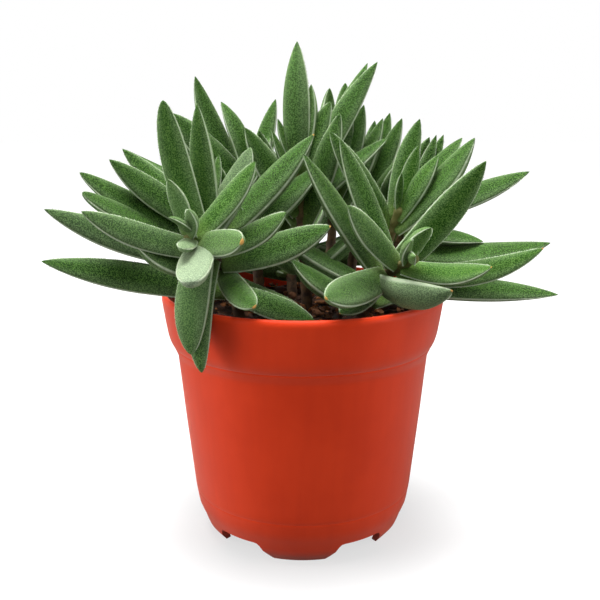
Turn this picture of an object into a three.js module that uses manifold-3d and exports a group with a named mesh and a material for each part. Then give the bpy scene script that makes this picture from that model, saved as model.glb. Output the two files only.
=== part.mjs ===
// Potted Crassula mesembryanthemoides: a clump of soft, velvety leaf pairs on short stems,
// in a round plastic nursery pot. Millimetres, +Z up, origin on the pot's axis at its feet.
import * as THREE from 'three';
import Module from 'manifold-3d';
import { mergeVertices } from 'three/addons/utils/BufferGeometryUtils.js';

const wasm = await Module();
wasm.setup();

// Driving dimensions
const POT_HEIGHT = 93.3;
const RIM_RADIUS = 52.5;
const WALL = 1.5;
const WALL_SIDES = 32;
const FLOOR_UNDERSIDE = 8.2;
const FLOOR_THICKNESS = 1.6;
const FOOT_COUNT = 5;
const FRONT_FOOT_ANGLE = -92;
const FOOT_HEIGHT = 7.2;
const FOOT_TOP_HALF_ANGLE = 22.5;
const FOOT_BOTTOM_HALF_ANGLE = 18.5;
const DRAIN_HOLE_RADIUS = 4;
const DRAIN_HOLE_RING = 21;
const DRAIN_HOLE_DEPTH = 8;
const SKIRT_REACH = 37;
const NOTCH_DEPTH = 24;
const NOTCH_CORNER = 1.6;
const NOTCH_SPLAY = 1.2;
const SOIL_TOP = 86;
const SOIL_RADIUS = 49;
const SOIL_SIDES = 20;
const GAP = 0.35;
const STEM_FOOT_RADIUS = 2.6;
const STEM_TOP_RADIUS = 1.5;
const STEM_SIDES = 6;
const STEM_STEPS = 5;
const ROOT_DEPTH = 22;
const ROOT_SPREAD = 0.3;
const ROOTSTOCK_RADIUS = 9;
const ROOTSTOCK_HEIGHT = 12;
const ROOTSTOCK_TAPER = 0.6;
const ROOTSTOCK_SIDES = 8;
const SHEATH_RADIUS = 3.5;
const LEAF_STATIONS = [0, 0.2, 0.48, 0.74, 0.92];
// Corners of a leaf's cross section in degrees: both margins, then the rounded underside
const LEAF_CORNERS = [0, 42, 90, 138, 180];
const LEAF_LOWER_SHARE = 0.42;
const LEAF_BASE_SHARE = 0.66;
const LEAF_ROOT = 1.7;
const LEAF_BASE_HALF_THICKNESS = 0.85;
const LEAF_FULL_FROM = 0.22;
const LEAF_TOP_SHARE = 0.05;

// Outline of the pot's outside, radius at each height, from the feet to the rim
const POT_OUTSIDE = [
  [33.4, 0], [37, 4], [38.9, 8], [41.2, 15], [43, 30], [47.1, 69.9],
  [48.2, 72.7], [49.6, 75.6], [50.5, 78.4], [RIM_RADIUS, 90.8], [51.4, POT_HEIGHT],
];
const INSIDE_FROM = 12;
const INSIDE_TO = 80;
const RIM_INNER_RADIUS = 50.4;
const SKIRT_INNER_RADIUS = 31.6;
const SKIRT_TOP_RADIUS = 36.2;
const FLOOR_RADIUS = 37.6;
const RIM_DEPTH = 3.3;

const COLOURS = { pot: 0xb5402a, soil: 0x3a261a, stem: 0x8a6b42, leaf: 0x4c7a3a };

function material(name, roughness) {
  return new THREE.MeshStandardMaterial({ color: COLOURS[name], roughness, metalness: 0 });
}

const MATERIALS = {
  pot: material('pot', 0.42),
  soil: material('soil', 0.95),
  stem: material('stem', 0.8),
  leaf: material('leaf', 0.7),
};

function toSolid(geometry) {
  const bare = geometry.clone();
  bare.deleteAttribute('normal');
  bare.deleteAttribute('uv');
  const merged = mergeVertices(bare, 1e-4);
  return new wasm.Manifold(new wasm.Mesh({
    numProp: 3,
    vertProperties: Float32Array.from(merged.attributes.position.array),
    triVerts: Uint32Array.from(merged.index.array),
  }));
}

function toGeometry(solid) {
  const mesh = solid.getMesh();
  const geometry = new THREE.BufferGeometry();
  geometry.setAttribute('position', new THREE.BufferAttribute(mesh.vertProperties, 3));
  geometry.setIndex(new THREE.BufferAttribute(mesh.triVerts, 1));
  geometry.computeVertexNormals();
  return geometry;
}

// A lathe turns about Y, so its solid is stood up to turn about Z
function turned(outline, sides) {
  const points = outline.map(([radius, height]) => new THREE.Vector2(radius, height));
  const lathe = new THREE.LatheGeometry(points, sides);
  lathe.rotateX(Math.PI / 2);
  return toSolid(lathe);
}

// The inside wall follows the outside at one wall's thickness
function potInside(inset) {
  return POT_OUTSIDE.filter(([, z]) => z > INSIDE_FROM && z < INSIDE_TO)
    .map(([radius, z]) => [radius - WALL - inset, z]);
}

// One notch between two feet: a wedge that is wider at the ground than at its top
function footNotch(angle) {
  const half = THREE.MathUtils.degToRad(180 / FOOT_COUNT);
  const top = SKIRT_REACH * Math.sin(half - THREE.MathUtils.degToRad(FOOT_TOP_HALF_ANGLE));
  const bottom = SKIRT_REACH * Math.sin(half - THREE.MathUtils.degToRad(FOOT_BOTTOM_HALF_ANGLE));
  const shape = new THREE.Shape();
  shape.moveTo(-bottom - NOTCH_SPLAY, -1);
  shape.lineTo(bottom + NOTCH_SPLAY, -1);
  shape.lineTo(bottom, NOTCH_SPLAY);
  shape.lineTo(top + 0.5, FOOT_HEIGHT - NOTCH_SPLAY);
  shape.quadraticCurveTo(top, FOOT_HEIGHT, top - NOTCH_CORNER, FOOT_HEIGHT);
  shape.lineTo(-top + NOTCH_CORNER, FOOT_HEIGHT);
  shape.quadraticCurveTo(-top, FOOT_HEIGHT, -top - 0.5, FOOT_HEIGHT - NOTCH_SPLAY);
  shape.lineTo(-bottom, NOTCH_SPLAY);
  shape.closePath();
  const block = new THREE.ExtrudeGeometry(shape, {
    depth: NOTCH_DEPTH, bevelEnabled: false, curveSegments: 3,
  });
  block.rotateX(Math.PI / 2);
  block.rotateZ(Math.PI);
  block.translate(0, NOTCH_DEPTH, 0);
  block.rotateZ(THREE.MathUtils.degToRad(angle) - Math.PI / 2);
  return toSolid(block);
}

function drainHole(angle, ring) {
  const hole = new THREE.CylinderGeometry(DRAIN_HOLE_RADIUS, DRAIN_HOLE_RADIUS, DRAIN_HOLE_DEPTH, 12);
  hole.rotateX(Math.PI / 2);
  hole.translate(ring * Math.cos(angle), ring * Math.sin(angle), FLOOR_UNDERSIDE);
  return toSolid(hole);
}

function buildPot() {
  const floorTop = FLOOR_UNDERSIDE + FLOOR_THICKNESS;
  const inside = potInside(0).reverse();
  let pot = turned([
    [0, FLOOR_UNDERSIDE], [SKIRT_TOP_RADIUS, FLOOR_UNDERSIDE], [SKIRT_INNER_RADIUS, 0],
    ...POT_OUTSIDE, [RIM_INNER_RADIUS, POT_HEIGHT], [RIM_INNER_RADIUS, POT_HEIGHT - RIM_DEPTH], ...inside,
    [FLOOR_RADIUS, floorTop], [0, floorTop],
  ], WALL_SIDES);
  const step = 360 / FOOT_COUNT;
  for (let i = 0; i < FOOT_COUNT; i += 1) {
    pot = pot.subtract(footNotch(FRONT_FOOT_ANGLE + step * (i + 0.5)));
    const holeAngle = THREE.MathUtils.degToRad(FRONT_FOOT_ANGLE + step * i);
    pot = pot.subtract(drainHole(holeAngle, DRAIN_HOLE_RING));
  }
  return pot.subtract(drainHole(0, 0));
}

// The soil fills the pot to just under its rim; its top is domed a little and gently uneven
function soilSurface(x, y) {
  const unevenness = 0.5 * Math.sin(x * 0.21 + 1) * Math.cos(y * 0.17);
  return SOIL_TOP - 0.6 + unevenness - 0.0006 * (x * x + y * y);
}

function buildSoil() {
  const floorTop = FLOOR_UNDERSIDE + FLOOR_THICKNESS + GAP;
  const side = potInside(GAP + 0.2);
  const points = [
    [0, floorTop], [FLOOR_RADIUS - 0.8, floorTop], ...side, [SOIL_RADIUS, SOIL_TOP],
    [SOIL_RADIUS * 0.67, SOIL_TOP], [SOIL_RADIUS * 0.35, SOIL_TOP], [0, SOIL_TOP],
  ].map(([radius, height]) => new THREE.Vector2(radius, height));
  const lathe = new THREE.LatheGeometry(points, SOIL_SIDES);
  lathe.rotateX(Math.PI / 2);
  const place = lathe.attributes.position;
  for (let i = 0; i < place.count; i += 1) {
    if (place.getZ(i) > SOIL_TOP - 0.01) {
      place.setZ(i, soilSurface(place.getX(i), place.getY(i)));
    }
  }
  return toSolid(lathe);
}

// Stems. Each shoot climbs from the soil along a curve given by its foot, bend and growing point.
function shootCurve(shoot) {
  const [foot, bend, top] = shoot.path.map((point) => new THREE.Vector3(...point));
  return new THREE.QuadraticBezierCurve3(foot, bend, top);
}

function stemTube(points, startRadius, endRadius) {
  const tube = new THREE.CylinderGeometry(1, 1, 1, STEM_SIDES, points.length - 1);
  const place = tube.attributes.position;
  const last = points.length - 1;
  for (let i = 0; i < place.count; i += 1) {
    const share = 0.5 + place.getY(i);
    const index = Math.round(share * last);
    const before = points[Math.max(index - 1, 0)];
    const after = points[Math.min(index + 1, last)];
    const along = after.clone().sub(before).normalize();
    const side = new THREE.Vector3(0, 1, 0).cross(along).normalize();
    const front = along.clone().cross(side);
    const radius = startRadius + (endRadius - startRadius) * share;
    const vertex = points[index].clone()
      .addScaledVector(side, place.getX(i) * radius)
      .addScaledVector(front, -place.getZ(i) * radius);
    place.setXYZ(i, vertex.x, vertex.y, vertex.z);
  }
  return toSolid(tube);
}

function shootStem(shoot, grow = 0) {
  const curve = shootCurve(shoot);
  const points = curve.getPoints(STEM_STEPS);
  const foot = points[0];
  const root = new THREE.Vector3(foot.x * ROOT_SPREAD, foot.y * ROOT_SPREAD, foot.z - ROOT_DEPTH);
  return stemTube([root, ...points], STEM_FOOT_RADIUS + grow, STEM_TOP_RADIUS + grow);
}

// Leaves. Width along a leaf from its base, t = 0, to its tip, t = 1
function leafBreadth(t) {
  const fromTip = 1 - t;
  if (fromTip < 0.5) return Math.sin((Math.PI / 2) * (2 * fromTip) ** 0.8);
  return 1 - (1 - LEAF_BASE_SHARE) * ((fromTip - 0.5) / 0.5) ** 2;
}

function leafSolid(shoot, share, leaf, grow = 0) {
  const curve = shootCurve(shoot);
  const node = curve.getPoint(share);
  const axis = curve.getTangent(share);
  const tip = new THREE.Vector3(...leaf.tip);
  const along = tip.clone().sub(node).normalize();
  const base = node.addScaledVector(along, -LEAF_ROOT - grow);
  const upper = axis.clone().addScaledVector(along, -axis.dot(along)).normalize();
  upper.applyAxisAngle(along, THREE.MathUtils.degToRad(leaf.turn));
  const across = along.clone().cross(upper);
  const bend = base.clone().add(tip).multiplyScalar(0.5)
    .addScaledVector(upper, -2 * leaf.lift)
    .addScaledVector(across, 2 * leaf.sway);
  const spine = new THREE.QuadraticBezierCurve3(base, bend, tip.clone().addScaledVector(along, grow));
  const rings = LEAF_STATIONS.length + 1;
  const corners = LEAF_CORNERS.length;
  const ball = new THREE.SphereGeometry(1, corners, rings);
  const place = ball.attributes.position;
  for (let i = 0; i < place.count; i += 1) {
    const ring = Math.floor(i / (corners + 1));
    const corner = i % (corners + 1) % corners;
    const t = ring === 0 ? 1 : LEAF_STATIONS[rings - 1 - ring] ?? 0;
    const angle = -THREE.MathUtils.degToRad(LEAF_CORNERS[corner]);
    const pole = ring === 0 || ring === rings;
    const heading = spine.getTangent(t);
    const normal = upper.clone().addScaledVector(heading, -upper.dot(heading)).normalize();
    const side = heading.clone().cross(normal);
    const width = leaf.width * leafBreadth(t);
    const fullness = THREE.MathUtils.clamp(t / LEAF_FULL_FROM, 0, 1);
    const full = width * LEAF_LOWER_SHARE;
    const rise = THREE.MathUtils.lerp(Math.min(full, LEAF_BASE_HALF_THICKNESS), full, fullness) + grow;
    const flat = corner === 0 || corner === corners - 1;
    const reach = t === 0 ? Math.max(width / 2, SHEATH_RADIUS) : width / 2;
    const x = pole ? 0 : Math.cos(angle) * (reach + grow);
    const z = pole ? 0 : flat ? grow + LEAF_TOP_SHARE * width : Math.sin(angle) * rise;
    const vertex = spine.getPoint(t).addScaledVector(side, x).addScaledVector(normal, z);
    place.setXYZ(i, vertex.x, vertex.y, vertex.z);
  }
  return toSolid(ball);
}

function pairSolid(shoot, pair, grow = 0) {
  const [share, first, second] = pair;
  return leafSolid(shoot, share, first, grow).add(leafSolid(shoot, share, second, grow));
}

// A leaf by its tip, its width, how far its middle sags below the straight line,
// how far it sways sideways, and the turn of its flat face about its length
function leaf(tip, width, lift = 1, sway = 0, turn = 0) {
  return { tip, width, lift, sway, turn };
}

const SHOOTS = [
  {
    name: 'front_left', path: [[-22, -17, 82], [-24, -21, 107], [-37, -46, 120]],
    pairs: [
      [0.33, leaf([-85, -42, 111], 10.8, 1.5, 0, -35), leaf([4, -38, 90], 9.4, 1, 0, 10)],
      [0.55, leaf([-54, -46, 118], 10.7, 3, 0, -5), leaf([-15, -56, 99], 8.2, 1, 1)],
      [0.62, leaf([-80, -52, 129], 9.9, 4, 0, -15), leaf([9, -46, 123], 11.4, 3, 0, 10)],
      [0.69, leaf([-33, -48, 75], 8.8, -4, 1, -5), leaf([-34, -34, 161], 9.8, 1, -1.5, -5)],
      [0.76, leaf([-67, -58, 129], 9, 4, 0, -10), leaf([-5, -52, 128], 8.8, 3, 0, 5)],
      [0.81, leaf([-36, -51, 82], 11.8, -4, 0, -5), leaf([-44, -40, 162], 9.8, 1, -2, 5)],
      [0.86, leaf([-32, -78, 111], 10.4, 0, 0, -30), leaf([-17, -32, 147], 10.5, 2)],
      [0.9, leaf([-18, -66, 121], 8.9), leaf([-41, -56, 127], 4.2, 1, 0, 45)],
      [0.94, leaf([-36, -66, 119], 5, 0.5, 0, -60), leaf([-15, -42, 143], 8.5, 2)],
      [0.98, leaf([-42, -48, 138], 6.6, 1, 0, -5), leaf([-35, -54, 129], 5.5, 1, 0, 15)],
    ],
  },
  {
    name: 'left', path: [[-24, -2, 82], [-27, -5, 108], [-35, -24, 124]],
    pairs: [
      [0.33, leaf([-1, -26, 92], 8.5, 2), leaf([-60, 12, 106], 10, 2)],
      [0.6, leaf([-71, -40, 133], 9.6, 2, 0, -15), leaf([7, -6, 140], 12, 1, 0, 5)],
      [0.71, leaf([-73, -34, 139], 9.8, 3, 0, -10), leaf([4, -18, 151], 11.8, 1, 0, 5)],
      [0.82, leaf([-64, -30, 143], 9.8, 2, 0, -5), leaf([-12, 8, 150], 8.5)],
      [0.92, leaf([-62, -18, 146], 7.6, 2, 0, 5), leaf([-29, -16, 144], 4.8)],
    ],
  },
  {
    name: 'back_left', path: [[-16, 8, 82], [-18, 8, 110], [-20, 4, 138]],
    pairs: [
      [0.76, leaf([-39, 4, 171], 10.2, 2, -1, -35), leaf([-64, -2, 145], 9, 2)],
      [0.85, leaf([-47, -4, 158], 10.8, 1, 0, -65), leaf([-10, 10, 163], 7.7, 1, -1, 20)],
      [0.94, leaf([-30, 6, 162], 7.8, -3, 0, -15), leaf([-12, 14, 152], 6.5)],
    ],
  },
  {
    name: 'centre', path: [[2, 0, 82], [0, 0, 110], [-2, -2, 140]],
    pairs: [
      [0.3, leaf([-22, -16, 126], 10, 2), leaf([26, 2, 124], 10, 2)],
      [0.6, leaf([13, -12, 158], 10.7, 1, 0, 80), leaf([-16, 32, 148], 10, 2)],
      [0.68, leaf([-20, -14, 153], 10.3, 1, 0, -80), leaf([31, 2, 149], 8.3, -2, 0, 30)],
      [0.77, leaf([27, 4, 176], 9.6, 1, -2, 50), leaf([-26, 20, 154], 9.5, 2)],
      [0.85, leaf([24, 12, 176], 8.5, 1, 0, 25), leaf([-11, -6, 152], 4.5, 0.5, 0, -55)],
      [0.91, leaf([-2, 2, 183], 10.2, 1, 0, 180), leaf([10, -4, 162], 9.1, 1, -1, 55)],
      [0.97, leaf([3, 0, 168], 8.4, 1, 0, 10), leaf([-9, -2, 156], 4.5, 0.5, 0, -30)],
    ],
  },
  {
    name: 'centre_right', path: [[10, 8, 82], [10, 10, 108], [13, 12, 132]],
    pairs: [
      [0.7, leaf([10, 12, 167], 11, 1, 0, -65), leaf([30, 12, 156], 10.4, 1, 0, 45)],
      [0.86, leaf([16, 16, 169], 9.2, 1, 0, -60), leaf([23, 14, 161], 8.7, 1, 0, 55)],
    ],
  },
  {
    name: 'back_right', path: [[17, 14, 82], [20, 14, 108], [24, 12, 132]],
    pairs: [
      [0.66, leaf([43, 0, 148], 9.4, -1, 0, 65), leaf([28, 24, 155], 9, 2)],
      [0.84, leaf([37, 10, 156], 8.2, 1, 0, 50), leaf([33, 16, 158], 7.6, 1, 0, 10)],
    ],
  },
  {
    name: 'right_back', path: [[27, 4, 82], [34, 6, 104], [42, 4, 126]],
    pairs: [
      [0.58, leaf([86, -22, 114], 10.9, 4, 0, 45), leaf([50, 10, 150], 6.7, -1, 0, -5)],
      [0.72, leaf([66, -6, 112], 7.4, -1, 0, 35), leaf([53, 12, 150], 6.8)],
      [0.85, leaf([83, 0, 137], 9.4, 1, 0, 45), leaf([59, 6, 149], 9.3, -2, 0, 15)],
    ],
  },
  {
    name: 'right', path: [[24, -4, 82], [28, -8, 104], [34, -18, 126]],
    pairs: [
      [0.3, leaf([-10, -4, 116], 10.8, 1), leaf([66, 10, 102], 9.5, 2)],
      [0.8, leaf([57, -28, 150], 11.6, 1, 1, 20), leaf([9, -22, 152], 8.8, 0, 0, -45)],
      [0.88, leaf([41, -10, 156], 8.4, 1, -1, -5), leaf([46, -22, 144], 8.6, 0)],
      [0.96, leaf([40, -16, 147], 5.6), leaf([34, -20, 138], 3.9, 0.5)],
    ],
  },
  {
    name: 'front_right', path: [[20, -14, 82], [26, -20, 104], [37, -42, 112]],
    pairs: [
      [0.22, leaf([-4, -22, 108], 10.5, 2), leaf([62, -4, 106], 9.5, 0)],
      [0.45, leaf([85, -38, 99], 9.4, -1, 0, 5), leaf([12, -44, 94], 7.9, 1, 0, 5)],
      [0.53, leaf([46, -60, 105], 12.8, 3, 0, -40), leaf([0, -30, 145], 9.7, 0, 0, 5)],
      [0.62, leaf([59, -38, 143], 10.8, 1, 1.5, 5), leaf([7, -62, 103], 11.3, 2, 0, 5)],
      [0.7, leaf([77, -46, 116], 8.6, 3, 4, 5), leaf([12, -34, 150], 8.8, 0, 0, -5)],
      [0.78, leaf([58, -58, 112], 8.1, 4, 0, 10), leaf([14, -50, 130], 8.9, 1, 0, -5)],
      [0.88, leaf([40, -50, 123], 7.2, 1, 0, -10), leaf([33, -58, 120], 5.5, 0.5, 0, -35)],
      [0.96, leaf([34, -62, 116], 4, 0.5), leaf([38, -44, 122], 3, 0.5)],
    ],
  },
  {
    name: 'back_centre', path: [[-4, 22, 82], [-5, 24, 104], [-8, 36, 122]],
    pairs: [
      [0.28, leaf([-36, 42, 112], 11, 2), leaf([14, 36, 131], 11, 0)],
      [0.5, leaf([-34, 70, 104], 11, 3), leaf([34, 66, 112], 11, 3)],
      [0.64, leaf([4, 77, 112], 11.5, 3), leaf([-16, 0, 152], 10)],
      [0.78, leaf([-44, 52, 132], 10.5, 3), leaf([30, 52, 134], 10.5, 3)],
      [0.92, leaf([-14, 68, 140], 9, 2), leaf([-2, 20, 158], 8.5)],
    ],
  },
  {
    name: 'far_left', path: [[-26, 14, 82], [-30, 17, 104], [-38, 26, 118]],
    pairs: [
      [0.5, leaf([-62, 30, 104], 11, 2), leaf([10, 36, 90], 10.5, 0)],
      [0.64, leaf([-56, 70, 108], 11, 3), leaf([-30, -8, 140], 10)],
      [0.78, leaf([-78, 48, 122], 10.5, 3), leaf([-12, 40, 146], 10, 2)],
      [0.92, leaf([-54, 52, 142], 9, 2), leaf([-46, 6, 150], 8.5)],
    ],
  },
  {
    name: 'far_right', path: [[26, 20, 82], [30, 24, 104], [38, 34, 116]],
    pairs: [
      [0.5, leaf([80, 34, 104], 11, 2), leaf([-4, 44, 105], 11, 2)],
      [0.64, leaf([54, 76, 104], 11, 3), leaf([34, -4, 140], 10)],
      [0.78, leaf([75, 52, 103], 10.5, 2), leaf([14, 44, 148], 10, 2)],
      [0.92, leaf([46, 70, 136], 9, 2), leaf([48, 14, 149], 9.4)],
    ],
  },
];

// A leaf tip that its neighbours cut off is left out: only the largest connected body stays
function largestBody(solid) {
  const { vertProperties, triVerts } = solid.getMesh();
  const parent = Array.from({ length: vertProperties.length / 3 }, (_, i) => i);
  const find = (i) => {
    let root = i;
    while (parent[root] !== root) root = parent[root];
    return root;
  };
  for (let k = 0; k < triVerts.length; k += 3) {
    const root = find(triVerts[k]);
    parent[find(triVerts[k + 1])] = root;
    parent[find(triVerts[k + 2])] = root;
  }
  const bodies = new Map();
  for (let k = 0; k < triVerts.length; k += 3) {
    const root = find(triVerts[k]);
    if (!bodies.has(root)) bodies.set(root, []);
    bodies.get(root).push(triVerts[k], triVerts[k + 1], triVerts[k + 2]);
  }
  const largest = [...bodies.values()].reduce((best, body) => (body.length > best.length ? body : best));
  return new wasm.Manifold(new wasm.Mesh({
    numProp: 3, vertProperties, triVerts: Uint32Array.from(largest),
  }));
}

const group = new THREE.Group();

function addNode(parent, name, solid, kind) {
  const mesh = new THREE.Mesh(toGeometry(solid), MATERIALS[kind]);
  mesh.name = name;
  parent.add(mesh);
}

addNode(group, 'pot', buildPot(), 'pot');

// All shoots spring from one rootstock in the soil
function stemClump(grow = 0) {
  const stock = new THREE.CylinderGeometry(ROOTSTOCK_RADIUS + grow, ROOTSTOCK_TAPER * ROOTSTOCK_RADIUS + grow,
    ROOTSTOCK_HEIGHT + 2 * grow, ROOTSTOCK_SIDES);
  stock.rotateX(Math.PI / 2);
  stock.translate(0, 0, SHOOTS[0].path[0][2] - ROOT_DEPTH - 1);
  return SHOOTS.reduce((clump, shoot) => clump.add(shootStem(shoot, grow)), toSolid(stock));
}

const stemRoom = stemClump(GAP);
addNode(group, 'soil', largestBody(buildSoil().subtract(stemRoom)), 'soil');
addNode(group, 'stems', stemClump(), 'stem');

// Leaves press against what lies under them, so each pair is cut back by its neighbours
let taken = stemRoom;
for (const shoot of SHOOTS) {
  const crown = new THREE.Group();
  group.add(crown);
  shoot.pairs.forEach((pair, index) => {
    const free = pairSolid(shoot, pair).subtract(taken);
    addNode(crown, `leaf_pair_${shoot.name}_${index + 1}`, largestBody(free), 'leaf');
    taken = taken.add(pairSolid(shoot, pair, GAP));
  });
}

export default group;
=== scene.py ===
# Potted Crassula mesembryanthemoides: velvety leaf pairs on short stems in a round nursery pot.
import math
import random

import bmesh
import bpy
from mathutils import Matrix, Quaternion, Vector, noise


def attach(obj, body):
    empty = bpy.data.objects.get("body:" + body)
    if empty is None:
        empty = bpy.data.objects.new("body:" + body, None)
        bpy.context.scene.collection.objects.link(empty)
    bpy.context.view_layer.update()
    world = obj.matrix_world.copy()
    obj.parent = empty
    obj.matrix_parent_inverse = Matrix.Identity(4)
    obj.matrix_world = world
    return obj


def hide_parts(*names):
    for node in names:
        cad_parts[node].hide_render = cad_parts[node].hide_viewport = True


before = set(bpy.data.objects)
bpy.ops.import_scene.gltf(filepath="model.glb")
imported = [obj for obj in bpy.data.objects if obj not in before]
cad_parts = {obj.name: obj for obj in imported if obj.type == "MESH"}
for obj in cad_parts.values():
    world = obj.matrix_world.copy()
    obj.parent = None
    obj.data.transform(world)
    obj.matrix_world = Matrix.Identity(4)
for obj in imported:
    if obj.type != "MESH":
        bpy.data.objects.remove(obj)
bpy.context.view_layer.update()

MM = 0.001
rng = random.Random(7)

# Camera: places in metres, lens and sensor in millimetres, pitch in degrees
CAMERA_DISTANCE = 0.31873
CAMERA_HEIGHT = 0.15869
CAMERA_PITCH = 12.355
LENS = 51.826
SENSOR_WIDTH = 36
SHIFT_ACROSS = -0.00458
camera_data = bpy.data.cameras.new("camera")
camera_data.lens = LENS
camera_data.sensor_width = SENSOR_WIDTH
camera_data.shift_x = SHIFT_ACROSS
camera = bpy.data.objects.new("camera", camera_data)
camera.location = (0, -CAMERA_DISTANCE, CAMERA_HEIGHT)
camera.rotation_euler = (math.radians(90 - CAMERA_PITCH), 0, 0)
bpy.context.scene.collection.objects.link(camera)
bpy.context.scene.camera = camera

# What the leaves' finish needs to know at each point of a leaf
ATTRIBUTES = ("along", "rim", "under", "fresh_and_lit", "frost_and_highlight", "point")

# Where the Mix node keeps its sockets for colours
MIX_FACTOR = 0
MIX_FIRST = 6
MIX_SECOND = 7
MIX_RESULT = 2


# Materials
class Wire:
    """An output socket. Arithmetic on it adds Math nodes."""

    def __init__(self, nodes, socket):
        self.nodes = nodes
        self.socket = socket

    def __add__(self, other):
        return self.nodes.maths("ADD", self, other)

    def __radd__(self, other):
        return self.nodes.maths("ADD", other, self)

    def __sub__(self, other):
        return self.nodes.maths("SUBTRACT", self, other)

    def __rsub__(self, other):
        return self.nodes.maths("SUBTRACT", other, self)

    def __mul__(self, other):
        return self.nodes.maths("MULTIPLY", self, other)

    def __rmul__(self, other):
        return self.nodes.maths("MULTIPLY", other, self)

    def ramp(self, low, high):
        """0 below low, 1 above high, smooth between."""
        values = {"Value": self, "From Min": low, "From Max": high}
        return self.nodes.node("ShaderNodeMapRange", {"interpolation_type": "SMOOTHSTEP"}, values)

    def fade(self, low, high, dimmest):
        """The dimmest value below low, 1 above high, even between."""
        values = {"Value": self, "From Min": low, "From Max": high, "To Min": dimmest}
        return self.nodes.node("ShaderNodeMapRange", {}, values)


class Nodes:
    """The nodes of a material or of the world, and the one way they are made."""

    def __init__(self, tree):
        self.tree = tree

    def node(self, kind, settings, values, output=0):
        """Makes a node of a type, with its settings and the values or links of its sockets."""
        made = self.tree.nodes.new(kind)
        for key, value in settings.items():
            setattr(made, key, value)
        self.fill(made, values)
        return Wire(self, made.outputs[output])

    def fill(self, made, values):
        """Links or sets the sockets of a node."""
        for key, value in values.items():
            if isinstance(value, Wire):
                self.tree.links.new(value.socket, made.inputs[key])
            else:
                made.inputs[key].default_value = value

    def maths(self, operation, first, second):
        return self.node("ShaderNodeMath", {"operation": operation}, {0: first, 1: second})


class Finish(Nodes):
    """A material, with the textures and mixes that paint it."""

    def __init__(self, name, **constants):
        self.material = bpy.data.materials.new(name)
        self.material.use_nodes = True
        super().__init__(self.material.node_tree)
        self.feed(**constants)

    def feed(self, **sockets):
        """Links or sets the sockets of the material's shader."""
        values = {name.replace("_", " "): value for name, value in sockets.items()}
        self.fill(self.tree.nodes["Principled BSDF"], values)

    def place(self):
        return self.node("ShaderNodeTexCoord", {}, {}, "Object")

    def stretched(self, scale):
        """Places for a texture that is drawn out where the scale is small."""
        return self.node("ShaderNodeMapping", {}, {"Vector": self.place(), "Scale": scale})

    def attribute(self, name):
        return self.node("ShaderNodeAttribute", {"attribute_name": name}, {}, "Fac")

    def noise(self, scale, detail, rough, place=None):
        values = {"Vector": place or self.place(), "Scale": scale, "Detail": detail, "Roughness": rough}
        return self.node("ShaderNodeTexNoise", {}, values)

    def mix(self, factor, first, second):
        """The first colour where the factor is 0, the second where it is 1."""
        first = first if isinstance(first, Wire) else (*first, 1)
        second = second if isinstance(second, Wire) else (*second, 1)
        values = {MIX_FACTOR: factor, MIX_FIRST: first, MIX_SECOND: second}
        return self.node("ShaderNodeMix", {"data_type": "RGBA"}, values, MIX_RESULT)

    def bump(self, height, strength, distance):
        values = {"Height": height, "Strength": strength, "Distance": distance}
        return self.node("ShaderNodeBump", {}, values)


def grey(level):
    return (level, level, level)


def srgb(*screen):
    """A colour as seen on screen, 0 to 255, in the renderer's linear values."""
    shares = [value / 255 for value in screen]
    return tuple(((c + 0.055) / 1.055) ** 2.4 if c > 0.04045 else c / 12.92 for c in shares)


def pot_finish():
    deep_red = (0.6, 0.032, 0.002)
    warm_red = (0.66, 0.039, 0.0035)
    worn_red = (0.53, 0.026, 0.0015)
    finish = Finish("moulded_red_plastic", IOR=1.5, Specular_IOR_Level=0.1,
                    Sheen_Weight=0.25, Sheen_Roughness=0.5, Sheen_Tint=(1, 0.85, 0.75, 1))
    haze = finish.noise(38, 3, 0.55)
    grain = finish.noise(2600, 2, 0.6)
    streaks = finish.noise(1, 2, 0.5, finish.stretched((260, 260, 14)))
    colour = finish.mix(haze.ramp(0.3, 0.7), deep_red, warm_red)
    colour = finish.mix(streaks.ramp(0.35, 0.75) * 0.25, colour, worn_red)
    finish.feed(Base_Color=colour, Roughness=0.36 + haze * 0.12 + grain * 0.05,
                Normal=finish.bump(grain * 0.7 + streaks * 0.5, 0.12, 0.0002))
    return finish.material


def soil_finish():
    peat = srgb(20, 11, 6)
    loam = srgb(66, 38, 18)
    fibre = srgb(140, 88, 42)
    finish = Finish("damp_potting_mix")
    clods = finish.noise(300, 4, 0.65)
    grit = finish.noise(1300, 3, 0.6)
    colour = finish.mix(clods.ramp(0.35, 0.65), peat, loam)
    colour = finish.mix(grit.ramp(0.58, 0.7) * 0.7, colour, fibre)
    finish.feed(Base_Color=colour, Roughness=0.7 + grit * 0.3,
                Normal=finish.bump(clods + grit * 0.4, 0.8, 0.0018))
    return finish.material


def bark_finish():
    dark_bark = srgb(44, 24, 12)
    pale_bark = srgb(158, 98, 48)
    crevice = srgb(70, 38, 18)
    finish = Finish("bark_chips")
    fibres = finish.noise(1, 3, 0.6, finish.stretched((900, 240, 500)))
    colour = finish.mix(finish.attribute("tone"), dark_bark, pale_bark)
    colour = finish.mix(fibres.ramp(0.4, 0.7) * 0.5, colour, crevice)
    finish.feed(Base_Color=colour, Roughness=0.65 + fibres * 0.35,
                Normal=finish.bump(fibres, 0.5, 0.0006))
    return finish.material


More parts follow.
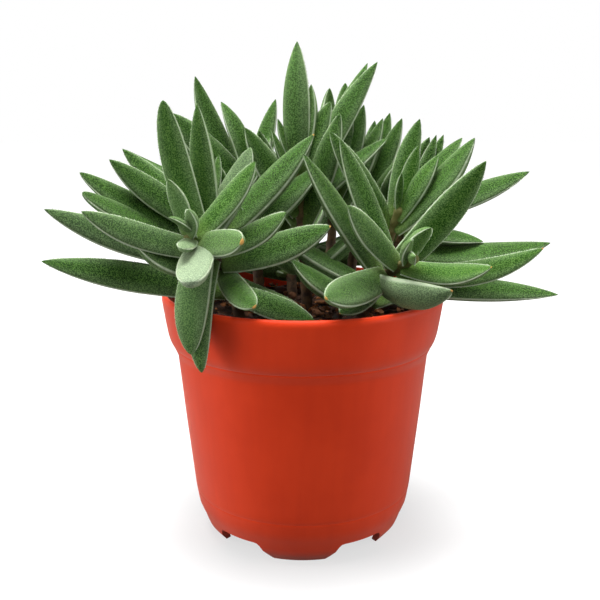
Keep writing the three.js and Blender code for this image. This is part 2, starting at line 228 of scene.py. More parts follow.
def stem_finish():
    # Brown bark low on the stems, kept dark partly as its own colour and partly as painted shade deep in the
    # clump; green towards the tips
    dark_wood_and_shade = srgb(60, 42, 25)
    pale_wood_and_shade = srgb(96, 70, 42)
    green_wood = srgb(104, 104, 52)
    crack = srgb(52, 34, 20)
    finish = Finish("woody_stem")
    along = finish.attribute("along")
    patches = finish.noise(420, 3, 0.6)
    cork = finish.noise(1600, 3, 0.6)
    colour = finish.mix(patches.ramp(0.35, 0.65), dark_wood_and_shade, pale_wood_and_shade)
    colour = finish.mix(along.ramp(0.55, 1.0), colour, green_wood)
    colour = finish.mix(cork.ramp(0.55, 0.75) * 0.5, colour, crack)
    finish.feed(Base_Color=colour, Roughness=0.65 + cork * 0.3,
                Normal=finish.bump(patches * 0.6 + cork * 0.4, 0.6, 0.0006))
    return finish.material


def leaf_finish():
    """Green skin under a velvet of short hairs, paler at the edges from a pale margin and painted sheen, a
    little paler underneath, paler and yellower at the base, white where frosted and where a painted
    highlight is laid on, and brighter on young leaves and where painted as lit.
    """
    old_shaded_skin = (0.005, 0.025, 0.002)
    young_lit_skin = (0.022, 0.09, 0.006)
    old_shaded_hairs = (0.084, 0.18, 0.036)
    young_lit_hairs = (0.12, 0.24, 0.045)
    cloud_green = (0.05, 0.13, 0.02)
    sheen_grey = (0.2, 0.3, 0.14)
    frost_and_highlight_white = (0.4, 0.46, 0.35)
    base_yellow = (0.16, 0.24, 0.05)
    pale_margin_and_sheen = (0.48, 0.57, 0.4)
    dry_orange = (0.5, 0.26, 0.07)
    finish = Finish("velvet_leaf", Specular_IOR_Level=0.08, Sheen_Weight=0.3,
                    Sheen_Roughness=0.3, Sheen_Tint=(0.75, 0.9, 0.5, 1))
    along, rim, under, fresh_and_lit, frost_and_highlight, point = [finish.attribute(name) for name in ATTRIBUTES]
    down = finish.noise(2600, 2, 0.65)
    clumps = finish.noise(1100, 2, 0.6)
    clouds = finish.noise(90, 2, 0.5)
    # Low freshness gives old leaves and leaves painted as shaded a darker skin and hairs; high freshness
    # gives young leaves and leaves painted as lit brighter ones
    skin = finish.mix(fresh_and_lit, old_shaded_skin, young_lit_skin)
    hairs = finish.mix(fresh_and_lit, old_shaded_hairs, young_lit_hairs)
    tuft = (down * 0.88 + clumps * 0.12).ramp(0.45, 0.58)
    colour = finish.mix(tuft, skin, hairs)
    colour = finish.mix(clouds.ramp(0.35, 0.65) * 0.25, colour, cloud_green)
    # Painted sheen: greyer and paler towards the edges, where the velvet turns away from the eye, and a
    # little paler underneath
    sheen_and_pale_underside = rim.ramp(0.2, 1.0) * 0.5 + under * 0.08
    colour = finish.mix(sheen_and_pale_underside * (0.45 + tuft * 0.55), colour, sheen_grey)
    # White frost of hairs, laid on thicker on some leaves as a painted highlight where they face the light
    colour = finish.mix(frost_and_highlight * (0.55 + tuft * 0.45), colour, frost_and_highlight_white)
    colour = finish.mix((1 - along).ramp(0.7, 1.0) * 0.4, colour, base_yellow)
    # A thin pale line along the margins: partly their own pale hairs, partly painted sheen
    colour = finish.mix(rim.ramp(0.96, 0.995) * 0.6, colour, pale_margin_and_sheen)
    colour = finish.mix(point * along.ramp(0.982, 0.994), colour, dry_orange)
    finish.feed(Base_Color=colour, Roughness=0.5 + tuft * 0.3,
                Normal=finish.bump(down * 0.7 + clumps * 0.3, 0.9, 0.0005))
    return finish.material


def hair_finish():
    pale_hair = (0.55, 0.62, 0.46)
    dull_hair = (0.36, 0.45, 0.28)
    finish = Finish("white_leaf_hairs")
    tint = finish.noise(300, 1, 0.5)
    finish.feed(Base_Color=finish.mix(tint, pale_hair, dull_hair), Roughness=0.5 + tint * 0.2)
    return finish.material


def floor_finish():
    """White card that glows white to the camera only and lights nothing, with a painted soft shadow round
    the pot: its glow is dimmed near the pot and its own colour is a little darker there.
    """
    finish = Finish("white_card", Roughness=0.9, Specular_IOR_Level=0.0, Emission_Strength=1.0)
    away = finish.node("ShaderNodeVectorMath", {"operation": "LENGTH"}, {0: finish.place()}, "Value")
    seen = finish.node("ShaderNodeLightPath", {}, {}, "Is Camera Ray")
    # Painted shadow: the glow dims to two thirds close round the pot, and the card's own colour is a little
    # darker within a few tenths of a metre of it
    glow_with_painted_shadow = finish.mix(away.ramp(0.03, 0.085), grey(0.66), grey(1))
    finish.feed(Emission_Color=finish.mix(seen, grey(0), glow_with_painted_shadow),
                Base_Color=finish.mix(away.ramp(0.1, 0.6), grey(0.15), grey(0.2)))
    return finish.material


POT_RED = pot_finish()
SOIL = soil_finish()
BARK = bark_finish()
STEM = stem_finish()
LEAF = leaf_finish()
HAIR = hair_finish()

# Place of a piece's second material in its list
SECOND = 1

# How near the top or bottom of a unit ball a point counts as its pole
POLE = 0.9999


# Pieces, modelled in millimetres
def shown(bm, name, materials=()):
    """Puts the bmesh into the scene as an object."""
    mesh = bpy.data.meshes.new(name)
    bm.to_mesh(mesh)
    bm.free()
    for material in materials:
        mesh.materials.append(material)
    made = bpy.data.objects.new(name, mesh)
    bpy.context.scene.collection.objects.link(made)
    return made


def keep(bm, name, slot, materials, *nodes):
    """Turns the bmesh into a piece that stands for CAD nodes, or is added to them."""
    bmesh.ops.scale(bm, vec=(MM, MM, MM), verts=bm.verts)
    piece = shown(bm, name, materials)
    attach(piece, "root")
    if nodes:
        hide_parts(*nodes)


def smooth(bm, sharp_degrees=180):
    """Smooth shading, but sharp where faces meet at more than the given angle."""
    for face in bm.faces:
        face.smooth = True
    for edge in bm.edges:
        if len(edge.link_faces) == 2 and edge.calc_face_angle() > math.radians(sharp_degrees):
            edge.smooth = False


def solved(bm, cutters):
    """The bmesh with the cutters taken out of it."""
    blank = shown(bm, "blank")
    tools = [shown(cutter, "cutter") for cutter in cutters]
    for tool in tools:
        cut = blank.modifiers.new("cut", "BOOLEAN")
        cut.operation = "DIFFERENCE"
        cut.solver = "EXACT"
        cut.object = tool
    made = bmesh.new()
    made.from_mesh(blank.evaluated_get(bpy.context.evaluated_depsgraph_get()).data)
    for stand_in in (blank, *tools):
        bpy.data.objects.remove(stand_in)
    return made


def faces_of(verts):
    """The faces at the given points, in no fixed order."""
    return {face for vert in verts for face in vert.link_faces}


def ball_place(vert):
    """Where a point of a unit ball lies: share of the way down, angle round, and if it is a pole."""
    share_down = math.acos(max(-1, min(1, vert.co.z))) / math.pi
    return share_down, math.atan2(vert.co.y, vert.co.x), abs(vert.co.z) > POLE


# Pot: its outline as radius and height, up the outside, down the inside and back under the floor
OUTSIDE = [
    (33.9, 0), (35.7, 2), (37.4, 4), (38.2, 6), (38.9, 8), (39.8, 10), (40.6, 12), (41.0, 14), (41.3, 16),
    (41.5, 17), (41.45, 17.3), (41.6, 17.6), (41.8, 19), (43.0, 30), (44.1, 40), (45.15, 50), (46.1, 60),
    (47.0, 69), (47.1, 70), (47.3, 70.7), (47.7, 71.7), (48.3, 73), (48.5, 73.5), (48.45, 73.9),
    (48.95, 74.3), (49.6, 75.6), (50.0, 76.6), (50.3, 77.6), (50.55, 78.6), (50.9, 80.5), (51.4, 83.5),
    (52.0, 87.5), (52.4, 90.2), (52.5, 91.2), (52.4, 92.1), (52.0, 92.9), (51.5, 93.2), (51.0, 93.3),
    (50.6, 93.0), (50.45, 92.4),
]
INSIDE = [
    (50.4, 90), (49.9, 84), (49.0, 78), (48.2, 76), (46.0, 72), (45.4, 69), (44.6, 60), (43.6, 50),
    (42.6, 40), (41.5, 30), (40.3, 19), (39.4, 14), (37.6, 10.2), (36.6, 9.8), (0, 9.8),
]
UNDERSIDE = [(0, 8.2), (35.6, 8.2), (36.2, 7.6), (31.8, 0.3), (32.1, 0)]
POT_SIDES = 144
SHARP_ANGLE = 34
WELD = 0.01

# Feet: where they stand and half of what each takes up, in degrees, and the notches between them
FOOT_COUNT = 5
FOOT_STEP = 360 / FOOT_COUNT
FRONT_FOOT_ANGLE = -92
FOOT_ANGLES = [FRONT_FOOT_ANGLE + FOOT_STEP * i for i in range(FOOT_COUNT)]
FOOT_BOTTOM_HALF = 18.5
FOOT_TOP_HALF = 22.5
SKIRT_REACH = 37
NOTCH_TOP = 7.3
NOTCH_START = 24
NOTCH_LENGTH = 26

# Drain holes: one in the middle and one inward of each foot
DRAIN_RADIUS = 4
DRAIN_RING = 21
DRAIN_SIDES = 32
DRAIN_DEPTH = 8
POT_FLOOR_HEIGHT = 9


def notch(angle):
    """What is cut out of the skirt between two feet."""
    half = math.radians(FOOT_STEP / 2)
    low = SKIRT_REACH * math.sin(half - math.radians(FOOT_BOTTOM_HALF))
    high = SKIRT_REACH * math.sin(half - math.radians(FOOT_TOP_HALF))
    side = [(low + 1.2, -1), (low + 0.3, 0.5), (high + 0.6, 6.0), (high - 0.2, 7.0), (high - 1.4, NOTCH_TOP)]
    outline = side + [(-x, z) for x, z in reversed(side)]
    bm = bmesh.new()
    face = bm.faces.new([bm.verts.new((NOTCH_START, x, z)) for x, z in outline])
    grown = bmesh.ops.extrude_face_region(bm, geom=[face])["geom"]
    far_end = [v for v in grown if isinstance(v, bmesh.types.BMVert)]
    bmesh.ops.translate(bm, vec=(NOTCH_LENGTH, 0, 0), verts=far_end)
    bmesh.ops.recalc_face_normals(bm, faces=bm.faces)
    turn = Matrix.Rotation(math.radians(angle), 3, "Z")
    bmesh.ops.rotate(bm, cent=(0, 0, 0), matrix=turn, verts=bm.verts)
    return bm


def drain(angle, ring):
    """What is cut out of the pot's floor for one hole."""
    bm = bmesh.new()
    bmesh.ops.create_cone(bm, cap_ends=True, segments=DRAIN_SIDES, radius1=DRAIN_RADIUS,
                          radius2=DRAIN_RADIUS, depth=DRAIN_DEPTH)
    turn = math.radians(angle)
    middle = (ring * math.cos(turn), ring * math.sin(turn), POT_FLOOR_HEIGHT)
    bmesh.ops.translate(bm, vec=middle, verts=bm.verts)
    return bm


def pot():
    bm = bmesh.new()
    ring = [bm.verts.new((radius, 0, height)) for radius, height in OUTSIDE + INSIDE + UNDERSIDE]
    edges = [bm.edges.new(pair) for pair in zip(ring, ring[1:] + ring[:1])]
    spun = [edge for edge in edges if max(vert.co.x for vert in edge.verts) > WELD]
    bmesh.ops.spin(bm, geom=spun, cent=(0, 0, 0), axis=(0, 0, 1), angle=math.tau, steps=POT_SIDES,
                   use_merge=True)
    bmesh.ops.remove_doubles(bm, verts=bm.verts, dist=WELD)
    bmesh.ops.delete(bm, geom=[edge for edge in bm.edges if not edge.link_faces], context="EDGES")
    bmesh.ops.recalc_face_normals(bm, faces=bm.faces)
    cutters = [notch(angle + FOOT_STEP / 2) for angle in FOOT_ANGLES]
    cutters += [drain(angle, DRAIN_RING) for angle in FOOT_ANGLES]
    cutters.append(drain(0, 0))
    bm = solved(bm, cutters)
    smooth(bm, SHARP_ANGLE)
    keep(bm, "pot_shell", "pot", [POT_RED], "pot")


# Leaves: how their width changes between tip and base, by share of the length
TIP_FULLNESS = 0.8
WIDEST = 0.5
BASE_NARROWING = 0.34

# Their section, by share of the width, with an underside that is thin at the joint
UPPER_RISE = 0.21
UPPER_FLATTENING = 0.06
LOWER_SHARE = 0.42
LOWER_LEAN = 0.7
JOINT_THICKNESS = 0.3
JOINT_SHARE = 0.2

# The ball that is bent into a leaf, with its points crowded towards the tip and the margins
LEAF_RINGS = 30
LEAF_SIDES = 20
TIP_CROWDING = 1.3
RIM_CROWDING = 0.3
POLE_RIM = 0.5
POLE_UNDER = 0.3

# How young a leaf looks: high ones and narrow ones, in millimetres, look younger
HIGH_SHARE = 0.5
FRESHEST = 0.5
FRESH_SPREAD = 0.06
FULL_GROWN_WIDTH = 11
YOUNG_NARROWING = 7

# Fringe of hairs: its share of the margin, the hairs' feet in radians, the rest in millimetres
FRINGE_STEPS = 200
FRINGE_START = 0.04
FRINGE_SHARE = 0.92
HAIR_FOOT = 0.1
HAIR_STRAY = 0.12
HAIR_SHORTEST = 0.1
HAIR_LONGEST = 0.4


def curve(start, control, end):
    """Place and direction along a bent line, by share from 0 to 1."""
    start, control, end = Vector(start), Vector(control), Vector(end)

    def at(t):
        place = start * (1 - t) ** 2 + control * (2 * t * (1 - t)) + end * t * t
        heading = ((control - start) * (1 - t) + (end - control) * t).normalized()
        return place, heading

    return at


def leaf(tip, width, lift=1, sway=0, turn=0, blunt=0, fresh_and_lit=None, frost_and_highlight=0, point=0):
    """A leaf: its tip, width, sag below the straight line, sideways bend and turn about its length.

    blunt rounds its tip, the freshness is how young it is and how brightly lit it is painted, the frost is
    how thickly white hairs cover it together with a painted highlight, and point shows a dry orange tip."""
    return dict(tip=Vector(tip), width=width, lift=lift, sway=sway, turn=turn, blunt=blunt,
                fresh_and_lit=fresh_and_lit, frost_and_highlight=frost_and_highlight, point=point)


def breadth(t, blunt):
    """Share of a leaf's width along it, from its base at 0 to its tip at 1."""
    from_tip = 1 - t
    if from_tip < WIDEST:
        return math.sin(math.pi / 2 * (from_tip / WIDEST) ** (TIP_FULLNESS - blunt))
    return 1 - BASE_NARROWING * ((from_tip - WIDEST) / (1 - WIDEST)) ** 2


def leaf_surface(shoot, share, spec):
    """A function from share along and angle round the leaf to its surface and the way out of it."""
    node, axis = curve(*shoot["path"])(share)
    along = (spec["tip"] - node).normalized()
    upper = (axis - along * axis.dot(along)).normalized()
    upper.rotate(Quaternion(along, math.radians(spec["turn"])))
    across = along.cross(upper)
    bend = (node + spec["tip"]) / 2 - upper * 2 * spec["lift"] + across * 2 * spec["sway"]
    spine = curve(node, bend, spec["tip"])

    def surface(t, angle):
        place, heading = spine(t)
        normal = (upper - heading * upper.dot(heading)).normalized()
        side = heading.cross(normal)
        width = spec["width"] * breadth(t, spec["blunt"])
        rise = math.sin(angle)
        if rise > 0:
            height = width * (UPPER_RISE * rise - UPPER_FLATTENING * rise * rise)
            lean = 1
        else:
            height = width * LOWER_SHARE * rise * min(1, JOINT_THICKNESS + t / JOINT_SHARE)
            lean = LOWER_LEAN
        point = place + side * (math.cos(angle) * width / 2) + normal * height
        out = (side * math.cos(angle) + normal * rise * lean).normalized()
        return point, out

    return surface


def fringe(bm, surface, margin):
    """A row of short hairs along one margin of a leaf."""
    strip = bmesh.ops.create_grid(bm, x_segments=FRINGE_STEPS, y_segments=1, size=1)["verts"]
    from_base = sorted(faces_of(strip), key=lambda face: face.calc_center_median().x)
    poked = bmesh.ops.poke(bm, faces=from_base)

    def share_along(vert):
        return FRINGE_START + FRINGE_SHARE * (vert.co.x + 1) / 2

    for vert in strip:
        vert.co = surface(share_along(vert), margin + HAIR_FOOT * vert.co.y)[0]
    for vert in poked["verts"]:
        place, out = surface(share_along(vert), margin)
        stray = Vector([rng.uniform(-HAIR_STRAY, HAIR_STRAY) for _ in range(3)])
        vert.co = place + out * rng.uniform(HAIR_SHORTEST, HAIR_LONGEST) + stray
    for face in poked["faces"]:
        face.material_index = SECOND


def grow_leaf(bm, shoot, share, spec, fresh_and_lit):
    """A ball bent into one leaf, with what its finish needs to know at each point."""
    surface = leaf_surface(shoot, share, spec)
    layers = [bm.verts.layers.float[name] for name in ATTRIBUTES]
    ball = bmesh.ops.create_uvsphere(bm, u_segments=LEAF_SIDES, v_segments=LEAF_RINGS, radius=1)["verts"]
    for vert in ball:
        share_down, angle, pole = ball_place(vert)
        t = 1 - (1 - share_down) ** TIP_CROWDING
        angle -= RIM_CROWDING * math.sin(2 * angle)
        if pole:
            place = (surface(t, 0)[0] + surface(t, math.pi)[0]) / 2
            rim = POLE_RIM
            under = POLE_UNDER
        else:
            place = surface(t, angle)[0]
            rim = abs(math.cos(angle))
            under = max(0, -math.sin(angle))
        for layer, value in zip(layers, (t, rim, under, fresh_and_lit, spec["frost_and_highlight"], spec["point"])):
            vert[layer] = value
        vert.co = place
    for face in faces_of(ball):
        face.smooth = True
    for margin in (0, math.pi):
        fringe(bm, surface, margin)


def leaf_pair(shoot, number, share, *leaves):
    """Two leaves joined round their stem at a share of its length. High and narrow leaves are young."""
    bm = bmesh.new()
    for name in ATTRIBUTES:
        bm.verts.layers.float.new(name)
    for spec in leaves:
        high = min(1, max(0, (share - HIGH_SHARE) / (1 - HIGH_SHARE)))
        narrow = min(1, max(0, (FULL_GROWN_WIDTH - spec["width"]) / YOUNG_NARROWING))
        # Unless given, freshness follows height and narrowness; given values also paint single leaves
        # brighter or darker as if lit or shaded
        fresh_and_lit = FRESHEST * high * narrow if spec["fresh_and_lit"] is None else spec["fresh_and_lit"]
        grow_leaf(bm, shoot, share, spec, fresh_and_lit + rng.uniform(-FRESH_SPREAD, FRESH_SPREAD))
    name = f"leaf_pair_{shoot['name']}_{number}"
    keep(bm, name + "_velvet", "leaf", [LEAF, HAIR], name)


# Shoots: the path of each stem, and its pairs by their share of the way up it
SHOOTS = [
    dict(name="front_left", path=[(-22, -17, 82), (-24, -21, 107), (-37, -46, 120)], pairs=[
        (0.33, leaf((-85, -42, 111), 10.8, 1.5, 0, -35), leaf((4, -38, 90), 9.4, 1, 0, 10)),
        (0.55, leaf((-54, -46, 118), 10.7, 3, 0, -5),
         leaf((-15, -56, 99), 8.2, 1, 1, point=1, blunt=0.25)),
        (0.62, leaf((-80, -52, 129), 9.9, 4, 0, -15, frost_and_highlight=0.1),
         leaf((9, -46, 123), 11.4, 3, 0, 10, point=1)),
        (0.69, leaf((-33, -48, 75), 8.8, -4, 1, -5, blunt=0.15, fresh_and_lit=0.3, frost_and_highlight=0.05),
         leaf((-34, -34, 161), 9.8, 1, -1.5, -5, fresh_and_lit=0.35)),
        (0.76, leaf((-67, -58, 129), 9, 4, 0, -10, frost_and_highlight=0.08), leaf((-5, -52, 128), 8.8, 3, 0, 5)),
        (0.81, leaf((-36, -51, 82), 11.8, -4, 0, -5, blunt=0.15, fresh_and_lit=0.35, frost_and_highlight=0.08),
         leaf((-44, -40, 162), 9.8, 1, -2, 5, blunt=0.2, fresh_and_lit=0.3)),
        (0.86, leaf((-32, -78, 111), 10.4, 0, 0, -30, blunt=0.35, fresh_and_lit=0.5, frost_and_highlight=0.6),
         leaf((-17, -32, 147), 10.5, 2, blunt=0.1, fresh_and_lit=0.5, frost_and_highlight=0.25)),
        (0.9, leaf((-18, -66, 121), 8.9, point=1, blunt=0.3, fresh_and_lit=0.2, frost_and_highlight=0.04),
         leaf((-41, -56, 127), 4.2, 1, 0, 45, fresh_and_lit=0.7, frost_and_highlight=0.08)),
        (0.94, leaf((-36, -66, 119), 5, 0.5, 0, -60, fresh_and_lit=0.6, frost_and_highlight=0.35),
         leaf((-15, -42, 143), 8.5, 2, blunt=0.1, fresh_and_lit=0.55)),
        (0.98, leaf((-42, -48, 138), 6.6, 1, 0, -5, fresh_and_lit=1, frost_and_highlight=0.12),
         leaf((-35, -54, 129), 5.5, 1, 0, 15, fresh_and_lit=1, frost_and_highlight=0.2)),
    ]),
    dict(name="left", path=[(-24, -2, 82), (-27, -5, 108), (-35, -24, 124)], pairs=[
        (0.33, leaf((-1, -26, 92), 8.5, 2), leaf((-60, 12, 106), 10, 2)),
        (0.6, leaf((-71, -40, 133), 9.6, 2, 0, -15, blunt=0.25),
         leaf((7, -6, 140), 12, 1, 0, 5, point=1)),
        (0.71, leaf((-73, -34, 139), 9.8, 3, 0, -10, blunt=0.1),
         leaf((4, -18, 151), 11.8, 1, 0, 5, point=1)),
        (0.82, leaf((-64, -30, 143), 9.8, 2, 0, -5), leaf((-12, 8, 150), 8.5)),
        (0.92, leaf((-62, -18, 146), 7.6, 2, 0, 5), leaf((-29, -16, 144), 4.8)),
    ]),
    dict(name="back_left", path=[(-16, 8, 82), (-18, 8, 110), (-20, 4, 138)], pairs=[
        (0.76, leaf((-39, 4, 171), 10.2, 2, -1, -35), leaf((-64, -2, 145), 9, 2)),
        (0.85, leaf((-47, -4, 158), 10.8, 1, 0, -65), leaf((-10, 10, 163), 7.7, 1, -1, 20)),
        (0.94, leaf((-30, 6, 162), 7.8, -3, 0, -15), leaf((-12, 14, 152), 6.5)),
    ]),
    dict(name="centre", path=[(2, 0, 82), (0, 0, 110), (-2, -2, 140)], pairs=[
        (0.3, leaf((-22, -16, 126), 10, 2), leaf((26, 2, 124), 10, 2)),
        (0.6, leaf((13, -12, 158), 10.7, 1, 0, 80), leaf((-16, 32, 148), 10, 2)),
        (0.68, leaf((-20, -14, 153), 10.3, 1, 0, -80), leaf((31, 2, 149), 8.3, -2, 0, 30)),
        (0.77, leaf((27, 4, 176), 9.6, 1, -2, 50), leaf((-26, 20, 154), 9.5, 2)),
        (0.85, leaf((24, 12, 176), 8.5, 1, 0, 25), leaf((-11, -6, 152), 4.5, 0.5, 0, -55)),
        (0.91, leaf((-2, 2, 183), 10.2, 1, 0, 180, fresh_and_lit=0), leaf((10, -4, 162), 9.1, 1, -1, 55)),
        (0.97, leaf((3, 0, 168), 8.4, 1, 0, 10, fresh_and_lit=0.7), leaf((-9, -2, 156), 4.5, 0.5, 0, -30)),
    ]),
    dict(name="centre_right", path=[(10, 8, 82), (10, 10, 108), (13, 12, 132)], pairs=[
        (0.7, leaf((10, 12, 167), 11, 1, 0, -65, blunt=0.15), leaf((30, 12, 156), 10.4, 1, 0, 45)),
        (0.86, leaf((16, 16, 169), 9.2, 1, 0, -60, blunt=0.1), leaf((23, 14, 161), 8.7, 1, 0, 55)),
    ]),
    dict(name="back_right", path=[(17, 14, 82), (20, 14, 108), (24, 12, 132)], pairs=[
        (0.66, leaf((43, 0, 148), 9.4, -1, 0, 65), leaf((28, 24, 155), 9, 2)),
        (0.84, leaf((37, 10, 156), 8.2, 1, 0, 50), leaf((33, 16, 158), 7.6, 1, 0, 10)),
    ]),
    dict(name="right_back", path=[(27, 4, 82), (34, 6, 104), (42, 4, 126)], pairs=[
        (0.58, leaf((86, -22, 114), 10.9, 4, 0, 45), leaf((50, 10, 150), 6.7, -1, 0, -5)),
        (0.72, leaf((66, -6, 112), 7.4, -1, 0, 35), leaf((53, 12, 150), 6.8)),
        (0.85, leaf((83, 0, 137), 9.4, 1, 0, 45), leaf((59, 6, 149), 9.3, -2, 0, 15)),
    ]),
    dict(name="right", path=[(24, -4, 82), (28, -8, 104), (34, -18, 126)], pairs=[
        (0.3, leaf((-10, -4, 116), 10.8, 1), leaf((66, 10, 102), 9.5, 2)),
        (0.8, leaf((57, -28, 150), 11.6, 1, 1, 20, fresh_and_lit=0.05), leaf((9, -22, 152), 8.8, 0, 0, -45)),
        (0.88, leaf((41, -10, 156), 8.4, 1, -1, -5, fresh_and_lit=0.3), leaf((46, -22, 144), 8.6, 0, fresh_and_lit=0.35)),
        (0.96, leaf((40, -16, 147), 5.6, fresh_and_lit=0.8), leaf((34, -20, 138), 3.9, 0.5)),
    ]),
    dict(name="front_right", path=[(20, -14, 82), (26, -20, 104), (37, -42, 112)], pairs=[
        (0.22, leaf((-4, -22, 108), 10.5, 2), leaf((62, -4, 106), 9.5, 0)),
        (0.45, leaf((85, -38, 99), 9.4, -1, 0, 5), leaf((12, -44, 94), 7.9, 1, 0, 5, point=1)),
        (0.53, leaf((46, -60, 105), 12.8, 3, 0, -40, point=1, fresh_and_lit=0.15, frost_and_highlight=0.2),
         leaf((0, -30, 145), 9.7, 0, 0, 5)),
        (0.62, leaf((59, -38, 143), 10.8, 1, 1.5, 5, fresh_and_lit=0.45),
         leaf((7, -62, 103), 11.3, 2, 0, 5, point=1, blunt=0.12, frost_and_highlight=0.04)),
        (0.7, leaf((77, -46, 116), 8.6, 3, 4, 5, point=1, fresh_and_lit=0.5),
         leaf((12, -34, 150), 8.8, 0, 0, -5)),
        (0.78, leaf((58, -58, 112), 8.1, 4, 0, 10, point=1, fresh_and_lit=0.75),
         leaf((14, -50, 130), 8.9, 1, 0, -5, fresh_and_lit=0.4, frost_and_highlight=0.05)),
        (0.88, leaf((40, -50, 123), 7.2, 1, 0, -10, fresh_and_lit=0.8),
         leaf((33, -58, 120), 5.5, 0.5, 0, -35, fresh_and_lit=0.85, frost_and_highlight=0.05)),
        (0.96, leaf((34, -62, 116), 4, 0.5, fresh_and_lit=0.9), leaf((38, -44, 122), 3, 0.5, fresh_and_lit=0.9)),
    ]),
    dict(name="back_centre", path=[(-4, 22, 82), (-5, 24, 104), (-8, 36, 122)], pairs=[
        (0.28, leaf((-36, 42, 112), 11, 2), leaf((14, 36, 131), 11, 0)),
        (0.5, leaf((-34, 70, 104), 11, 3), leaf((34, 66, 112), 11, 3)),
        (0.64, leaf((4, 77, 112), 11.5, 3), leaf((-16, 0, 152), 10)),
        (0.78, leaf((-44, 52, 132), 10.5, 3), leaf((30, 52, 134), 10.5, 3)),
        (0.92, leaf((-14, 68, 140), 9, 2), leaf((-2, 20, 158), 8.5)),
    ]),
    dict(name="far_left", path=[(-26, 14, 82), (-30, 17, 104), (-38, 26, 118)], pairs=[
        (0.5, leaf((-62, 30, 104), 11, 2), leaf((10, 36, 90), 10.5, 0)),
        (0.64, leaf((-56, 70, 108), 11, 3), leaf((-30, -8, 140), 10)),
        (0.78, leaf((-78, 48, 122), 10.5, 3), leaf((-12, 40, 146), 10, 2)),
        (0.92, leaf((-54, 52, 142), 9, 2), leaf((-46, 6, 150), 8.5)),
    ]),
    dict(name="far_right", path=[(26, 20, 82), (30, 24, 104), (38, 34, 116)], pairs=[
        (0.5, leaf((80, 34, 104), 11, 2), leaf((-4, 44, 105), 11, 2)),
        (0.64, leaf((54, 76, 104), 11, 3), leaf((34, -4, 140), 10)),
        (0.78, leaf((75, 52, 103), 10.5, 2), leaf((14, 44, 148), 10, 2)),
        (0.92, leaf((46, 70, 136), 9, 2), leaf((48, 14, 149), 9.4)),
    ]),
]

# Stems: each is a ball drawn out from the rootstock, in millimetres or as a share of its length
STEM_SIDES = 12
STEM_RINGS = 80
STEM_RADIUS = 2.45
STEM_TAPER = 1.0
ROOT_SHARE = 0.3
ROOT_GATHER = 0.3
ROOT_DEPTH = 22
NODE_SWELL = 0.35
NODE_SHARPNESS = 60
BARK_RELIEF = 0.25
BARK_SCALE = 0.5


def grow_stem(bm, along, shoot):
    """A ball drawn out from the rootstock along the path of one shoot."""
    climb = curve(*shoot["path"])
    foot = Vector(shoot["path"][0])
    root = Vector((foot.x * ROOT_GATHER, foot.y * ROOT_GATHER, foot.z - ROOT_DEPTH))
    nodes = [pair[0] for pair in shoot["pairs"]]
    rod = bmesh.ops.create_uvsphere(bm, u_segments=STEM_SIDES, v_segments=STEM_RINGS, radius=1)["verts"]
    for vert in rod:
        share_down, angle, pole = ball_place(vert)
        s = 1 - share_down
        t = max(0, (s - ROOT_SHARE) / (1 - ROOT_SHARE))
        place, heading = climb(t)
        if s < ROOT_SHARE:
            heading = (foot - root).normalized()
            place = root.lerp(foot, s / ROOT_SHARE)
        side = Vector((0, 1, 0)).cross(heading).normalized()
        swell = sum(math.exp(-((t - node) * NODE_SHARPNESS) ** 2) for node in nodes)
        radius = STEM_RADIUS - STEM_TAPER * s + NODE_SWELL * min(1, swell)
        radius += BARK_RELIEF * noise.noise(place * BARK_SCALE + side * angle)
        vert[along] = t
        reach = side * math.cos(angle) + heading.cross(side) * math.sin(angle)
        vert.co = place + reach * (0 if pole else radius)


def stem_clump():
    """The woody stems, which spring from one rootstock in the soil, with swollen rings under the leaves."""
    bm = bmesh.new()
    along = bm.verts.layers.float.new("along")
    for shoot in SHOOTS:
        grow_stem(bm, along, shoot)
    smooth(bm)
    keep(bm, "stems_bark", "stem", [STEM], "stems")


# Soil: a crust of rings, and chips of bark on it, in millimetres
CRUST_RADIUS = 49.3
CRUST_SIDES = 72
CRUST_RINGS = 14
CRUST_STEP = 3.3
CRUST_HEIGHT = 86.2
CRUST_THICKNESS = 0.5
CRUST_DOMING = 0.0006
BROAD_LUMP_SCALE = 0.16
BROAD_LUMP = 1.1
SMALL_LUMP_SCALE = 0.5
SMALL_LUMP = 0.7
CHIP_COUNT = 420
CHIP_SPREAD = 48
CHIP_LIMIT = 48.6
CHIP_HEIGHT = 86.4
CHIP_LIFT = 0.15
CHIP_TILT = 0.4
DARK_CHIPS = 1.6


def broad_lump(place):
    return noise.noise(place * BROAD_LUMP_SCALE) * BROAD_LUMP


def chip_of_bark(bm, tone):
    """One chip, laid at random on the crust and kept inside the pot's wall."""
    radius = CHIP_SPREAD * math.sqrt(rng.random())
    turn = rng.uniform(0, math.tau)
    size = rng.uniform(0.6, 2.4)
    chip = bmesh.ops.create_icosphere(bm, subdivisions=1, radius=1)["verts"]
    length = size * rng.uniform(0.8, 2.2)
    width = size * rng.uniform(0.5, 0.9)
    height = size * rng.uniform(0.25, 0.6)
    for vert in chip:
        vert.co *= rng.uniform(0.75, 1.1)
    bmesh.ops.scale(bm, vec=(length, width, height), verts=chip)
    lean = (rng.uniform(-CHIP_TILT, CHIP_TILT), rng.uniform(-CHIP_TILT, CHIP_TILT), 1)
    tilt = Quaternion(lean, rng.uniform(0, math.tau))
    bmesh.ops.rotate(bm, cent=(0, 0, 0), matrix=tilt.to_matrix(), verts=chip)
    place = Vector((radius * math.cos(turn), radius * math.sin(turn), 0))
    place.z = CHIP_HEIGHT + broad_lump(place) + size * CHIP_LIFT
    place.xy *= min(1, CHIP_LIMIT / (radius + length))
    bmesh.ops.translate(bm, vec=place, verts=chip)
    shade = rng.random() ** DARK_CHIPS
    for vert in chip:
        vert[tone] = shade
    for face in faces_of(chip):
        face.material_index = SECOND


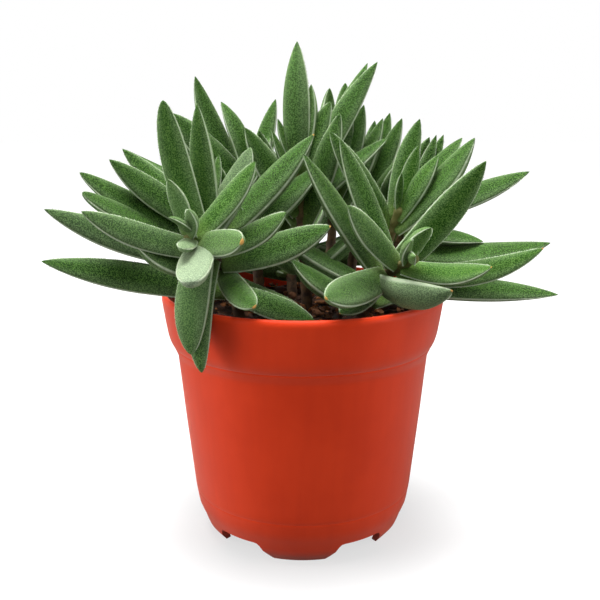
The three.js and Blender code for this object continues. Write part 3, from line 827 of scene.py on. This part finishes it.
def crumbs():
    """The loose top of the potting mix: a lumpy crust and chips of bark."""
    bm = bmesh.new()
    tone = bm.verts.layers.float.new("tone")
    outer = bmesh.ops.create_circle(bm, cap_ends=True, segments=CRUST_SIDES, radius=CRUST_RADIUS)["verts"]
    middle = outer[0].link_faces[0]
    for _ in range(CRUST_RINGS):
        bmesh.ops.inset_region(bm, faces=[middle], thickness=CRUST_STEP)
    bmesh.ops.triangulate(bm, faces=[middle])
    for vert in bm.verts:
        place = vert.co
        lump = broad_lump(place) + noise.noise(place * SMALL_LUMP_SCALE) * SMALL_LUMP
        vert.co.z = CRUST_HEIGHT + lump - CRUST_DOMING * (place.x ** 2 + place.y ** 2)
    bmesh.ops.solidify(bm, geom=list(bm.faces), thickness=CRUST_THICKNESS)
    bmesh.ops.recalc_face_normals(bm, faces=bm.faces)
    for face in bm.faces:
        face.smooth = True
    for _ in range(CHIP_COUNT):
        chip_of_bark(bm, tone)
    keep(bm, "soil_crumbs", "soil", [SOIL, BARK])


# The whole plant. The CAD's soil stays under the crumbs and gets their finish
pot()
crumbs()
for slot in bpy.data.objects["soil"].material_slots:
    slot.material = SOIL
stem_clump()
for shoot in SHOOTS:
    for number, pair in enumerate(shoot["pairs"], 1):
        leaf_pair(shoot, number, *pair)

# Floor and light, in metres and watts
CARD_HALF = 4
AMBIENT = 0.04
LAMP_AIM = (0, 0, 0.09)
floor_bm = bmesh.new()
bmesh.ops.create_grid(floor_bm, x_segments=1, y_segments=1, size=CARD_HALF)
floor = shown(floor_bm, "floor", [floor_finish()])


def lamp(name, place, size, power):
    """A square lamp that points at the plant."""
    data = bpy.data.lights.new(name, "AREA")
    data.size = size
    data.energy = power
    made = bpy.data.objects.new(name, data)
    made.location = place
    made.rotation_mode = "QUATERNION"
    made.rotation_quaternion = (Vector(LAMP_AIM) - Vector(place)).to_track_quat("-Z", "Y")
    bpy.context.scene.collection.objects.link(made)


lamp("key_left", place=(-0.78, -0.14, 0.26), size=0.7, power=8.0)
lamp("fill_right", place=(0.82, -0.08, 0.14), size=0.7, power=6.6)
lamp("overhead", place=(-0.1, 0.0, 0.9), size=0.5, power=18)
lamp("front", place=(0.1, -0.85, 0.6), size=0.6, power=3.1)


def studio():
    """White behind the plant, lit by a dim sky that darkens towards the camera."""
    world = bpy.data.worlds.new("studio")
    world.use_nodes = True
    made = Nodes(world.node_tree)
    way = made.node("ShaderNodeTexCoord", {}, {}, "Generated")
    behind = made.node("ShaderNodeSeparateXYZ", {}, {0: way}, "Y")
    glossy_ray = made.node("ShaderNodeLightPath", {}, {}, "Is Glossy Ray")
    camera_ray = made.node("ShaderNodeLightPath", {}, {}, "Is Camera Ray")
    sky = world.node_tree.nodes["Background"]
    made.fill(sky, {"Color": behind.fade(-0.8, 0.2, 0.5), "Strength": AMBIENT})
    mirrored_sky = {"Color": behind.fade(-0.5, 0.1, 0.0), "Strength": AMBIENT}
    mirrored = made.node("ShaderNodeBackground", {}, mirrored_sky)
    backdrop = made.node("ShaderNodeBackground", {}, {"Color": (1, 1, 1, 1)})
    plain = Wire(made, sky.outputs[0])
    light = made.node("ShaderNodeMixShader", {}, {0: glossy_ray, 1: plain, 2: mirrored})
    all_rays = made.node("ShaderNodeMixShader", {}, {0: camera_ray, 1: light, 2: backdrop})
    made.fill(world.node_tree.nodes["World Output"], {"Surface": all_rays})
    return world


bpy.context.scene.world = studio()
bpy.context.scene.view_settings.view_transform = "Standard"
